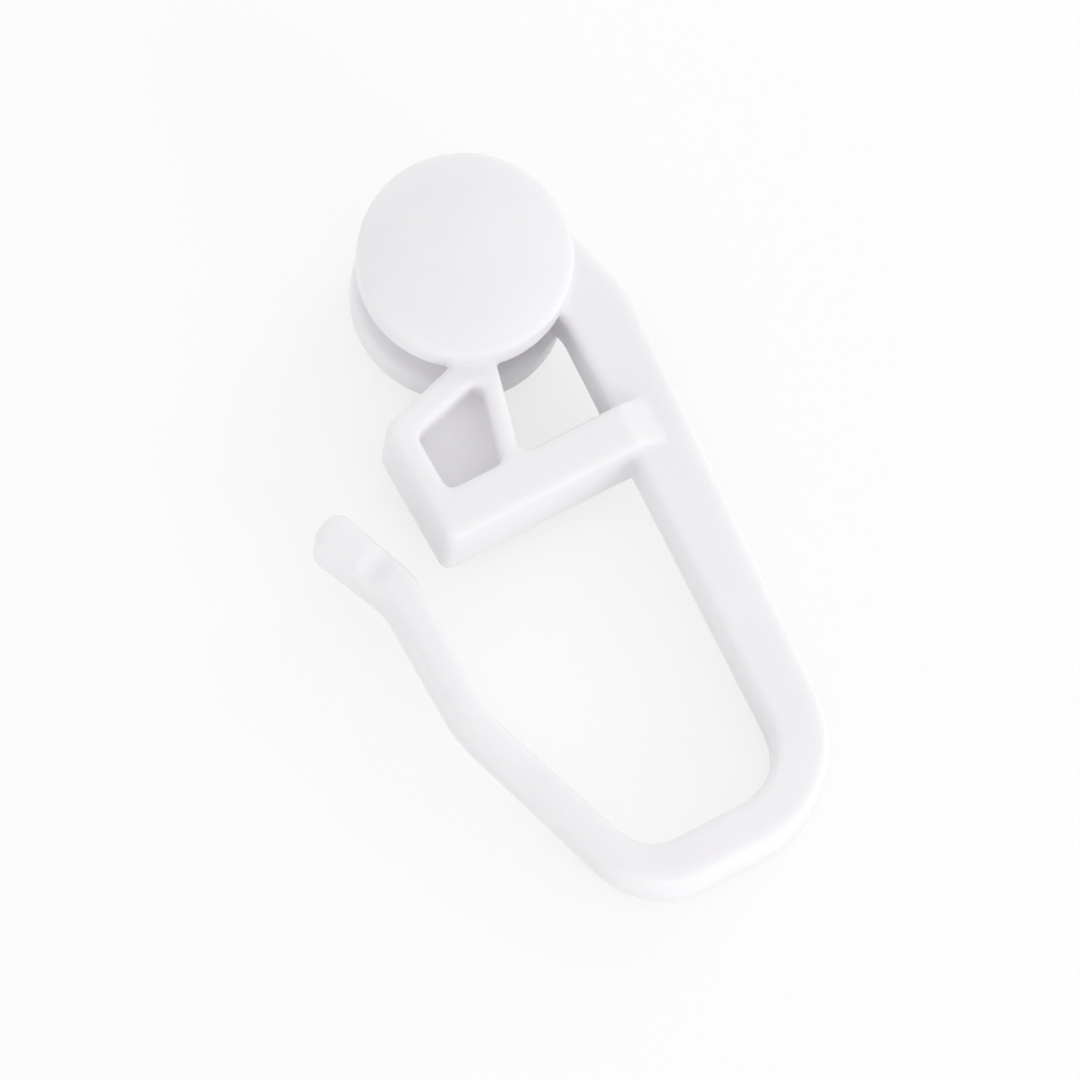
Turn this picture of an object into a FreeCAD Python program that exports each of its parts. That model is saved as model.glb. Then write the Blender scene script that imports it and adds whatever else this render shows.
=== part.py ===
import FreeCAD, Part
import math
import os
from FreeCAD import Vector

# A curtain hook for a rail, moulded in one piece of white plastic. A head of two domed discs runs in
# the rail. Under it sits a short deep frame, with a blind pocket on one side of a post and a window
# on the other. A broad spine leaves the head beside the frame, turns round a loop at the bottom and
# comes back up as a springy arm, whose free tip leans away from the frame. The curtain tape goes in
# between the tip and the frame.
#
# The hook is drawn flat round the middle of its head, with X towards the spine, Y up from the loop to
# the head and Z along the head's axis. At the end it is laid on the ground as it comes to rest.

# Head, in millimetres
head_diameter = 11.2
head_width = 9.4
dome_height = 1.0
disc_gap = 3.0
disc_edge_radius = 0.45
neck_diameter = 6.4

# Spine, loop and arm: places are those of the outer edge, measured from the middle of the head
bar_depth = 3.5
bar_edge_radius = 0.5
spine_top_right = 5.2
spine_top_above_head = 2.0
shoulder_right = 7.0
shoulder_below_head = 5.2
shoulder_radius = 5.0
spine_foot_right = 4.5
loop_below_head = 34.4
arm_foot_left = 8.1
arm_knee_below_head = 21.5
arm_left = 12.1
flare_below_head = 13.9
tip_left = 14.1
tip_below_head = 9.2
spine_top_width = 3.2
shoulder_width = 3.8
spine_foot_width = 2.7
loop_width = 2.5
arm_foot_width = 1.9
arm_width = 1.6
flare_width = 2.0
tip_width = 2.3
loop_radius_at_spine = 6.2
loop_radius_at_arm = 4.6
arm_knee_radius = 9.0
flare_radius = 3.0
tip_corner_radius = 0.85
tip_groove_above_flare = 1.5
tip_groove_width = 1.6
tip_groove_depth = 0.2

# Frame under the head
frame_depth = 5.4
frame_left = 8.0
frame_below_head = 13.0
frame_shoulder_below_head = 5.95
frame_roof_slope = 16.0
frame_reach_over_spine = 2.2
frame_side_wall = 1.3
frame_roof_wall = 1.5
frame_floor_wall = 2.55
frame_corner_radius = 0.6
frame_edge_radius = 0.35
post_foot_left = 3.5
post_lean = 15.0
post_width = 1.0
pocket_corner_radius = 0.5
pocket_floor = 1.6
ramp_start_over_spine = 0.3
ramp_sink = 0.1


def line_crossing(first, second):
    """The point where two lines cross, each given by two points on it."""
    start, end = first
    other_start, other_end = second
    along = end - start
    other_along = other_end - other_start
    between = other_start - start
    share = between.cross(other_along).z / along.cross(other_along).z
    return start + along * share


def rounded_outline(corners):
    """A closed wire through corners, each a point and the radius that rounds it."""
    starts = []
    middles = []
    ends = []
    for index, (corner, radius) in enumerate(corners):
        to_before = (corners[index - 1][0] - corner).normalize()
        to_after = (corners[(index + 1) % len(corners)][0] - corner).normalize()
        half_angle = to_before.getAngle(to_after) / 2
        inward = (to_before + to_after).normalize()
        starts.append(corner + to_before * (radius / math.tan(half_angle)))
        ends.append(corner + to_after * (radius / math.tan(half_angle)))
        middles.append(corner + inward * (radius / math.sin(half_angle) - radius))
    edges = []
    for index, start in enumerate(starts):
        next_start = starts[(index + 1) % len(starts)]
        edges.append(Part.Arc(start, middles[index], ends[index]).toShape())
        edges.append(Part.LineSegment(ends[index], next_start).toShape())
    return Part.Wire(edges)


def plate(corners, depth, lift=0.0):
    """The rounded outline as a plate of this depth, with its middle this far above the XY plane."""
    face = Part.Face(rounded_outline(corners))
    face.translate(Vector(0, 0, lift - depth / 2))
    return face.extrude(Vector(0, 0, depth))


def soften_faces(solid, depth, radius):
    """Round the edges of the front and back faces of a plate of this depth."""
    edges = [
        edge for edge in solid.Edges
        if edge.BoundBox.ZLength < 1e-6 and abs(abs(edge.BoundBox.ZMin) - depth / 2) < 1e-6
    ]
    return solid.makeFillet(radius, edges)


# The outer edge of the bar, from the top of the spine round the loop to the tip, with the bar's width
# at both ends of each stretch

spine_top = Vector(spine_top_right, spine_top_above_head, 0)
shoulder = Vector(shoulder_right, -shoulder_below_head, 0)
spine_foot = Vector(spine_foot_right, -loop_below_head, 0)
arm_foot = Vector(-arm_foot_left, -loop_below_head, 0)
arm_knee = Vector(-arm_left, -arm_knee_below_head, 0)
flare = Vector(-arm_left, -flare_below_head, 0)
tip = Vector(-tip_left, -tip_below_head, 0)

stretches = [
    (spine_top, shoulder, spine_top_width, shoulder_width),
    (shoulder, spine_foot, shoulder_width, spine_foot_width),
    (spine_foot, arm_foot, loop_width, loop_width),
    (arm_foot, arm_knee, arm_foot_width, arm_width),
    (arm_knee, flare, arm_width, flare_width),
    (flare, tip, flare_width, tip_width),
]
bend_radii = [shoulder_radius, loop_radius_at_spine, loop_radius_at_arm, arm_knee_radius, flare_radius]


def inner_edge(start, end, start_width, end_width):
    """The inner edge of a stretch, on the right-hand side of someone who goes along it."""
    along = (end - start).normalize()
    inward = Vector(along.y, -along.x, 0)
    return start + inward * start_width, end + inward * end_width


def bar():
    """Spine, loop and arm as one bar with softened edges."""
    inner_edges = [inner_edge(*stretch) for stretch in stretches]
    outer_corners = []
    inner_corners = []
    for index, radius in enumerate(bend_radii):
        before = stretches[index]
        after = stretches[index + 1]
        corner = before[1]
        turn = (before[1] - before[0]).cross(after[1] - after[0]).z
        width = (before[3] + after[2]) / 2
        inner_radius = radius - width if turn < 0 else radius + width
        outer_corners.append((corner, radius))
        inner_corners.append((line_crossing(inner_edges[index], inner_edges[index + 1]), inner_radius))
    top = [(inner_edges[0][0], bar_edge_radius), (spine_top, bar_edge_radius)]
    free_end = [(tip, tip_corner_radius), (inner_edges[-1][1], tip_corner_radius)]
    corners = top + outer_corners + free_end + inner_corners[::-1]
    return soften_faces(plate(corners, bar_depth), bar_depth, bar_edge_radius).cut(tip_grooves())


def tip_grooves():
    """The shallow round grooves across both faces of the arm, between its flare and its tip."""
    across = Vector((tip - flare).y, -(tip - flare).x, 0).normalize()
    along = (tip - flare).normalize()
    radius = ((tip_groove_width / 2) ** 2 + tip_groove_depth ** 2) / (2 * tip_groove_depth)
    height = bar_depth / 2 - tip_groove_depth + radius
    start = flare + along * tip_groove_above_flare - across
    return [
        Part.makeCylinder(radius, tip_width + 2, start + Vector(0, 0, side * height), across)
        for side in (1, -1)
    ]


def head():
    """Two domed discs with rounded rims on a neck, as one turned profile and its mirror image."""
    neck = neck_diameter / 2
    radius = head_diameter / 2
    inner = disc_gap / 2
    dome_radius = (radius ** 2 + dome_height ** 2) / (2 * dome_height)
    dome_centre = Vector(0, 0, head_width / 2 - dome_radius)
    round_x = radius - disc_edge_radius
    round_z = dome_centre.z + math.sqrt((dome_radius - disc_edge_radius) ** 2 - round_x ** 2)
    round_centre = Vector(round_x, 0, round_z)
    outward = (round_centre - dome_centre).normalize()
    halfway = (outward + Vector(1, 0, 0)).normalize()
    half_dome = (outward + Vector(0, 0, 1)).normalize()
    rim_start = Vector(radius, 0, round_z)
    rim_middle = round_centre + halfway * disc_edge_radius
    rim_end = dome_centre + outward * dome_radius
    dome_middle = dome_centre + half_dome * dome_radius
    dome_top = Vector(0, 0, head_width / 2)
    lip_centre = Vector(round_x, 0, inner + disc_edge_radius)
    lip_start = Vector(round_x, 0, inner)
    lip_middle = lip_centre + Vector(1, 0, -1).normalize() * disc_edge_radius
    lip_end = Vector(radius, 0, inner + disc_edge_radius)
    outline = [
        Part.LineSegment(Vector(0, 0, 0), Vector(neck, 0, 0)).toShape(),
        Part.LineSegment(Vector(neck, 0, 0), Vector(neck, 0, inner)).toShape(),
        Part.LineSegment(Vector(neck, 0, inner), lip_start).toShape(),
        Part.Arc(lip_start, lip_middle, lip_end).toShape(),
        Part.LineSegment(lip_end, rim_start).toShape(),
        Part.Arc(rim_start, rim_middle, rim_end).toShape(),
        Part.Arc(rim_end, dome_middle, dome_top).toShape(),
        Part.LineSegment(dome_top, Vector(0, 0, 0)).toShape(),
    ]
    half = Part.Face(Part.Wire(outline)).revolve(Vector(0, 0, 0), Vector(0, 0, 1), 360)
    return half.fuse(half.mirror(Vector(0, 0, 0), Vector(0, 0, 1))).removeSplitter()


def frame():
    """The deep walls under the head: side, sloping roof, post and floor, with the pocket between them."""
    bottom = -frame_below_head
    floor_top = bottom + frame_floor_wall
    post_along = Vector(math.sin(math.radians(post_lean)), math.cos(math.radians(post_lean)), 0)
    post_foot = Vector(-post_foot_left, floor_top, 0)
    post_left = (post_foot, post_foot + post_along)
    post_across = Vector(post_width / post_along.y, 0, 0)
    post_right = (post_left[0] + post_across, post_left[1] + post_across)
    post_top = Vector(0, -neck_diameter / 2 + post_width, 0)
    top_line = (post_top, post_top + Vector(1, 0, 0))
    roof_start = Vector(-frame_left, -frame_shoulder_below_head, 0)
    roof_along = Vector(math.cos(math.radians(frame_roof_slope)), math.sin(math.radians(frame_roof_slope)), 0)
    roof = (roof_start, roof_start + roof_along)
    spine_inner = inner_edge(*stretches[1])
    spine_inner_x = line_crossing(spine_inner, (Vector(0, bottom, 0), Vector(1, bottom, 0))).x
    floor_end = spine_inner_x + frame_reach_over_spine
    round_corner = frame_corner_radius
    walls = plate(
        [
            (Vector(-frame_left, bottom, 0), round_corner),
            (roof_start, round_corner),
            (line_crossing(roof, post_left), round_corner),
            (line_crossing(post_left, top_line), post_width / 3),
            (line_crossing(post_right, top_line), post_width / 3),
            (post_right[0], pocket_corner_radius),
            (Vector(floor_end, floor_top, 0), round_corner),
            (Vector(floor_end, bottom, 0), round_corner),
        ],
        frame_depth,
    )
    pocket_left = frame_side_wall - frame_left
    pocket_side = (Vector(pocket_left, floor_top, 0), Vector(pocket_left, 0, 0))
    roof_drop = Vector(0, frame_roof_wall / roof_along.x, 0)
    ceiling = (roof[0] - roof_drop, roof[1] - roof_drop)
    pocket_corners = [
        (pocket_side[0], pocket_corner_radius),
        (line_crossing(pocket_side, ceiling), pocket_corner_radius),
        (line_crossing(post_left, ceiling), pocket_corner_radius),
        (post_foot, pocket_corner_radius),
    ]
    pocket_depth = (frame_depth - pocket_floor) / 2
    for side in (1, -1):
        lift = side * (pocket_floor + pocket_depth) / 2
        walls = walls.cut(plate(pocket_corners, pocket_depth, lift))
    walls = soften_faces(walls, frame_depth, frame_edge_radius)
    ramp = Part.Face(Part.makePolygon([
        Vector(spine_inner_x + ramp_start_over_spine, bottom - 1, frame_depth / 2),
        Vector(floor_end, bottom - 1, bar_depth / 2 - ramp_sink),
        Vector(floor_end + 1, bottom - 1, bar_depth / 2 - ramp_sink),
        Vector(floor_end + 1, bottom - 1, frame_depth),
        Vector(spine_inner_x + ramp_start_over_spine, bottom - 1, frame_depth),
        Vector(spine_inner_x + ramp_start_over_spine, bottom - 1, frame_depth / 2),
    ])).extrude(Vector(0, frame_floor_wall + 2, 0))
    return walls.cut([ramp, ramp.mirror(Vector(0, 0, 0), Vector(0, 0, 1))])


def laid_down(solid):
    """Tip the hook until its rear disc and either the frame or the loop touch the ground."""
    reaches = [
        (frame_below_head - frame_edge_radius, frame_depth),
        (loop_below_head - bar_edge_radius, bar_depth),
    ]
    tilt = min(math.atan2((head_width - depth) / 2, below_head) for below_head, depth in reaches)
    solid.rotate(Vector(0, 0, 0), Vector(1, 0, 0), math.degrees(tilt))
    box = solid.optimalBoundingBox()
    solid.translate(Vector(-box.Center.x, -box.Center.y, -box.ZMin))
    return solid


hook = head().fuse([bar(), frame()]).removeSplitter()
hook = laid_down(hook)

os.makedirs("parts", exist_ok=True)
hook.exportStep("parts/hook.step")
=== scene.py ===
import math

import bpy
from mathutils import Matrix, Vector


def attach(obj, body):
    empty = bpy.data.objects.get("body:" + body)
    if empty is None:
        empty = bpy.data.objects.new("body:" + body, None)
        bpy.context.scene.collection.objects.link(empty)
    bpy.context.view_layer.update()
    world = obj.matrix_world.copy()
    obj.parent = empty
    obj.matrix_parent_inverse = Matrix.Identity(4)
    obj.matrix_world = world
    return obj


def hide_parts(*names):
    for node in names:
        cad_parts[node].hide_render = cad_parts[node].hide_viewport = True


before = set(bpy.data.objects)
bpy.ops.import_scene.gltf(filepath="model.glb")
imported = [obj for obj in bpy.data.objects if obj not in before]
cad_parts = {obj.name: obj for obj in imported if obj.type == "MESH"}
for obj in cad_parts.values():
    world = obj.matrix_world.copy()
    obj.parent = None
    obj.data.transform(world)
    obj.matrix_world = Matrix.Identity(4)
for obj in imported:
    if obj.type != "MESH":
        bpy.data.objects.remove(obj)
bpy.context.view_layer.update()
scene = bpy.context.scene

# The hook as it is drawn flat: X towards the spine, Y from the loop to the head, Z along the head's
# axis. It lies tipped about X by this much.

TILT = math.radians(4.973)
ACROSS = Vector((1.0, 0.0, 0.0))
ALONG = Vector((0.0, math.cos(TILT), math.sin(TILT)))
AXLE = Vector((0.0, -math.sin(TILT), math.cos(TILT)))


def in_hook(across, along, axle):
    """A direction given in the flat hook's own axes."""
    return ACROSS * across + ALONG * along + AXLE * axle


# Camera: long lens, far away, so that the discs keep their true tilt in the picture

VIEW_FROM = in_hook(-0.204, -0.241, 0.948).normalized()
PICTURE_UP = in_hook(0.481, 0.872, 0.0)
LOOK_AT = Vector((0.0, -0.0003, 0.0042))
FOCAL_LENGTH = 650.0
SENSOR_WIDTH = 36.0
DISTANCE = 1.0

right = PICTURE_UP.cross(VIEW_FROM).normalized()
up = VIEW_FROM.cross(right).normalized()
camera_data = bpy.data.cameras.new("camera")
camera_data.lens = FOCAL_LENGTH
camera_data.sensor_width = SENSOR_WIDTH
camera_data.clip_start = 0.01
camera_data.clip_end = 10.0
camera = bpy.data.objects.new("camera", camera_data)
scene.collection.objects.link(camera)
turn = Matrix((right, up, VIEW_FROM)).transposed().to_4x4()
camera.matrix_world = Matrix.Translation(LOOK_AT + VIEW_FROM * DISTANCE) @ turn
scene.camera = camera
scene.view_settings.view_transform = "Standard"

# Materials

PLASTIC_TONES = ((0.865, 0.853, 0.874, 1.0), (0.895, 0.883, 0.904, 1.0))
WHITE = (1.0, 1.0, 1.0, 1.0)
FLOOR_TONE = (0.98, 0.98, 0.98, 1.0)
FLOOR_WHITE_SHARE = 0.66


def new_material(name):
    """A material with nothing but its output."""
    material = bpy.data.materials.new(name)
    material.use_nodes = True
    material.node_tree.nodes.clear()
    output = material.node_tree.nodes.new("ShaderNodeOutputMaterial")
    return material, material.node_tree, output


def add_node(tree, kind, **inputs):
    """A node with its input values, each a number, a colour or another node's output."""
    node = tree.nodes.new(kind)
    for name, value in inputs.items():
        socket = node.inputs[name.replace("_", " ")]
        if isinstance(value, bpy.types.NodeSocket):
            tree.links.new(value, socket)
        else:
            socket.default_value = value
    return node


def add_math(tree, operation, first, second):
    """The result of a sum on two values, each a number or another node's output."""
    node = tree.nodes.new("ShaderNodeMath")
    node.operation = operation
    for socket, value in zip(node.inputs, (first, second)):
        if isinstance(value, bpy.types.NodeSocket):
            tree.links.new(value, socket)
        else:
            socket.default_value = value
    return node.outputs["Value"]


def plastic_material():
    """White moulded plastic: satin, faintly lilac, with cloudy tone and a fine grain."""
    material, tree, output = new_material("white_plastic")
    place = tree.nodes.new("ShaderNodeTexCoord").outputs["Object"]
    clouds = add_node(tree, "ShaderNodeTexNoise", Vector=place, Scale=160.0, Detail=3.0, Roughness=0.55)
    tone = add_node(tree, "ShaderNodeValToRGB", Fac=clouds.outputs["Fac"])
    for element, position, colour in zip(tone.color_ramp.elements, (0.3, 0.7), PLASTIC_TONES):
        element.position = position
        element.color = colour
    smears = add_node(tree, "ShaderNodeTexNoise", Vector=place, Scale=420.0, Detail=4.0, Roughness=0.6)
    gloss = add_node(
        tree, "ShaderNodeMapRange", Value=smears.outputs["Fac"],
        From_Min=0.3, From_Max=0.7, To_Min=0.30, To_Max=0.42,
    )
    grain = add_node(tree, "ShaderNodeTexNoise", Vector=place, Scale=6500.0, Detail=2.0, Roughness=0.5)
    waves = add_node(tree, "ShaderNodeTexNoise", Vector=place, Scale=260.0, Detail=1.0, Roughness=0.4)
    fine = add_node(tree, "ShaderNodeBump", Height=grain.outputs["Fac"], Strength=0.12, Distance=0.00002)
    broad = add_node(
        tree, "ShaderNodeBump", Height=waves.outputs["Fac"], Strength=0.25, Distance=0.00012,
        Normal=fine.outputs["Normal"],
    )
    shader = add_node(
        tree, "ShaderNodeBsdfPrincipled", Base_Color=tone.outputs["Color"],
        Roughness=gloss.outputs["Result"], Normal=broad.outputs["Normal"], IOR=1.5,
        Subsurface_Weight=0.4, Subsurface_Radius=(1.0, 0.9, 1.0), Subsurface_Scale=0.001,
    )
    tree.links.new(shader.outputs["BSDF"], output.inputs["Surface"])
    return material


def floor_material():
    """Plain pale floor. The lens and reflections see it near white, and it still takes the shadow."""
    material, tree, output = new_material("pale_floor")
    matt = add_node(tree, "ShaderNodeBsdfDiffuse", Color=FLOOR_TONE)
    white = add_node(tree, "ShaderNodeEmission", Color=WHITE, Strength=1.0)
    path = tree.nodes.new("ShaderNodeLightPath").outputs
    seen = add_math(tree, "MAXIMUM", path["Is Camera Ray"], path["Is Glossy Ray"])
    share = add_math(tree, "MULTIPLY", seen, FLOOR_WHITE_SHARE)
    mix = add_node(tree, "ShaderNodeMixShader", Fac=share)
    tree.links.new(matt.outputs["BSDF"], mix.inputs[1])
    tree.links.new(white.outputs["Emission"], mix.inputs[2])
    tree.links.new(mix.outputs["Shader"], output.inputs["Surface"])
    return material


# The hook: the solid's own shape with its edges and inner corners a little softer, as in a mould

VOXEL = 0.00015
SOFTENING_ROUNDS = 5


def moulded_hook():
    """A finely divided copy of the solid with its edges and junctions softened."""
    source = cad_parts["hook"]
    rough = bpy.data.objects.new("rough_hook", source.data.copy())
    scene.collection.objects.link(rough)
    remesh = rough.modifiers.new("divide", "REMESH")
    remesh.mode = "VOXEL"
    remesh.voxel_size = VOXEL
    smooth = rough.modifiers.new("soften", "SMOOTH")
    smooth.factor = 0.5
    smooth.iterations = SOFTENING_ROUNDS
    depsgraph = bpy.context.evaluated_depsgraph_get()
    mesh = bpy.data.meshes.new_from_object(rough.evaluated_get(depsgraph))
    bpy.data.objects.remove(rough)
    mesh.name = "moulded_hook"
    mesh.materials.clear()
    mesh.materials.append(plastic_material())
    for polygon in mesh.polygons:
        polygon.use_smooth = True
    piece = bpy.data.objects.new("moulded_hook", mesh)
    scene.collection.objects.link(piece)
    return piece


hook = moulded_hook()
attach(hook, "root")
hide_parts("hook")

# Floor

FLOOR_SIZE = 3.0

bpy.ops.mesh.primitive_plane_add(size=FLOOR_SIZE, location=(0.0, 0.0, 0.0))
floor = bpy.context.object
floor.name = "floor"
floor.data.materials.append(floor_material())

# Light: an even white surrounding, brighter at the horizon as in a light tent, and two soft lamps

HORIZON_LEVEL = 1.00
ZENITH_LEVEL = 0.76
LAMP_DISTANCE = 0.6
LAMP_SIZE = 0.30
SIDE_LAMP_WATTS = 0.52
FRONT_LAMP_WATTS = 0.78


def area_light(name, direction, power):
    """A square lamp that shines at the hook from this direction and leaves no glint on it."""
    data = bpy.data.lights.new(name, "AREA")
    data.shape = "SQUARE"
    data.size = LAMP_SIZE
    data.energy = power
    lamp = bpy.data.objects.new(name, data)
    scene.collection.objects.link(lamp)
    towards = Vector(direction).normalized()
    lamp.location = towards * LAMP_DISTANCE
    lamp.rotation_euler = towards.to_track_quat("Z", "Y").to_euler()
    lamp.visible_glossy = False


def surrounding():
    """White all round, brightest at the horizon."""
    world = bpy.data.worlds.new("world")
    world.use_nodes = True
    tree = world.node_tree
    place = tree.nodes.new("ShaderNodeTexCoord").outputs["Generated"]
    height = add_node(tree, "ShaderNodeSeparateXYZ", Vector=place).outputs["Z"]
    level = add_node(
        tree, "ShaderNodeMapRange", Value=height,
        From_Min=0.0, From_Max=1.0, To_Min=HORIZON_LEVEL, To_Max=ZENITH_LEVEL,
    )
    background = tree.nodes["Background"]
    background.inputs["Color"].default_value = WHITE
    tree.links.new(level.outputs["Result"], background.inputs["Strength"])
    return world


area_light("side", (0.90, 0.35, 0.55), SIDE_LAMP_WATTS)
area_light("front", (0.20, -0.97, 0.30), FRONT_LAMP_WATTS)
scene.world = surrounding()
